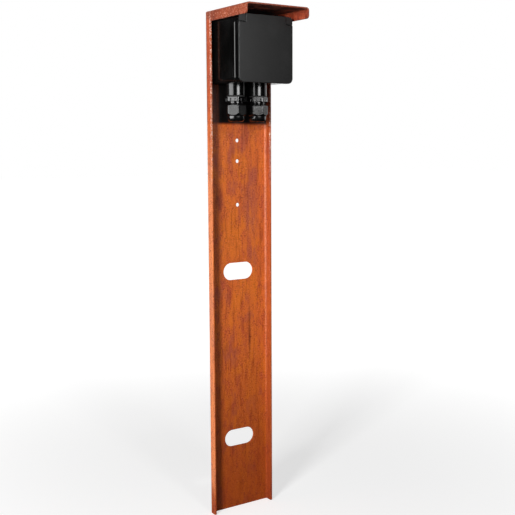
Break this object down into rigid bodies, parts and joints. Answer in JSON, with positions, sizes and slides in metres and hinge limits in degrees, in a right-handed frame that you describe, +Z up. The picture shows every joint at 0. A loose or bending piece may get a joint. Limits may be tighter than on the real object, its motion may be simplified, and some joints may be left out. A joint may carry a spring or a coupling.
{
  "type": "garden socket post",
  "caption": "Folded weathering-steel channel post with a roof over a black lidded socket box, cable glands below it and slotted fixing holes in its web.",
  "frame": {"origin": "bottom middle of the post's back face", "axes": "+Z up along the post, +Y towards the wall behind it, +X to the right seen from the front"},
  "size_m": [0.091, 0.095, 0.65],
  "materials": {
    "weathering_steel": "orange-brown rust patina, dry and finely pitted",
    "black_moulding": "fine satin moulded",
    "black_lid": "smooth satin moulded",
    "grey_moulding": "moulded",
    "black_nylon": "semi-gloss nylon",
    "seal_rubber": "soft matt",
    "brass": "bright stamped",
    "stainless_steel": "plain"
  },
  "bodies": {
    "post": {"post_channel": "weathering_steel", "roof_cap": "weathering_steel", "corner_weld": "weathering_steel", "back_box": "black_moulding", "frame_gasket": "seal_rubber", "box_fixing_screws": "stainless_steel", "box_fixing_washers": "stainless_steel", "cover_frame": "black_moulding", "frame_screws": "stainless_steel", "hinge_pin": "stainless_steel", "lid_spring": "stainless_steel", "socket_cup": "black_moulding", "insert_screws": "stainless_steel", "contact_block": "grey_moulding", "shutter_spring": "stainless_steel", "contact_sleeves": "brass", "earth_bracket": "brass", "terminal_clamps": "brass", "terminal_screws": "stainless_steel", "left_gland_body": "black_nylon", "right_gland_body": "black_nylon", "left_cable_seal": "seal_rubber", "right_cable_seal": "seal_rubber", "gland_face_seals": "seal_rubber"},
    "lid": {"lid": "black_lid", "lid_gasket": "seal_rubber"},
    "shutter": {"pin_shutter": "grey_moulding"},
    "left_nut": {"left_cap_nut": "black_nylon"},
    "right_nut": {"right_cap_nut": "black_nylon"}
  },
  "joints": [
    {"name": "lid_hinge", "type": "hinge", "parent": "post", "child": "lid", "pos_m": [0, -0.0646, 0.6362], "axis": [-1, 0, 0], "range_deg": [0, 95], "stiffness_Nm_per_rad": 0.02, "springref_deg": -34.38, "deforming": ["lid_spring"]},
    {"name": "shutter_slide", "type": "slide", "parent": "post", "child": "shutter", "axis": [1, 0, 0], "range_m": [0, 0.007], "stiffness_N_per_m": 60, "springref_m": -0.01, "deforming": ["shutter_spring"]},
    {"name": "left_nut_turn", "type": "hinge", "parent": "post", "child": "left_nut", "pos_m": [-0.01601, -0.0245, 0.525], "axis": [0, 0, -1], "range_deg": [-360, 720]},
    {"name": "right_nut_turn", "type": "hinge", "parent": "post", "child": "right_nut", "pos_m": [0.01601, -0.0245, 0.525], "axis": [0, 0, -1], "range_deg": [-360, 720]}
  ]
}
